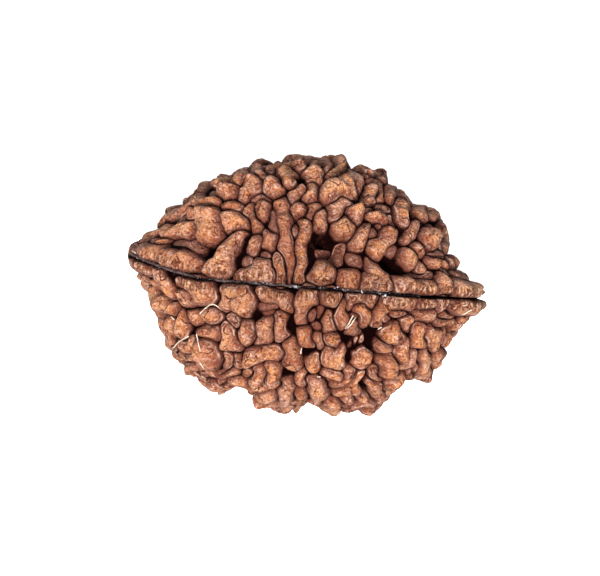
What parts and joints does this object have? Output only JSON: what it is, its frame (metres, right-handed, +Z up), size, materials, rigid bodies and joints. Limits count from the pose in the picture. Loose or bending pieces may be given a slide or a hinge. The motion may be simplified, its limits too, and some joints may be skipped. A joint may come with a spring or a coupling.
{
  "type": "two mukhi rudraksha bead",
  "caption": "Lens-shaped woody stone of the rudraksha fruit, covered in rounded lobes, with a groove round it from beak to beak over both poles.",
  "frame": {"origin": "centre of the bounding box at the surface the bead lies on", "axes": "+X from the left beak to the right one along the groove, +Y across the two halves, +Z up through the two poles"},
  "size_m": [0.0282, 0.0207, 0.0188],
  "materials": {
    "shell": "satin"
  },
  "bodies": {
    "root": {"bead": "shell"}
  },
  "joints": []
}
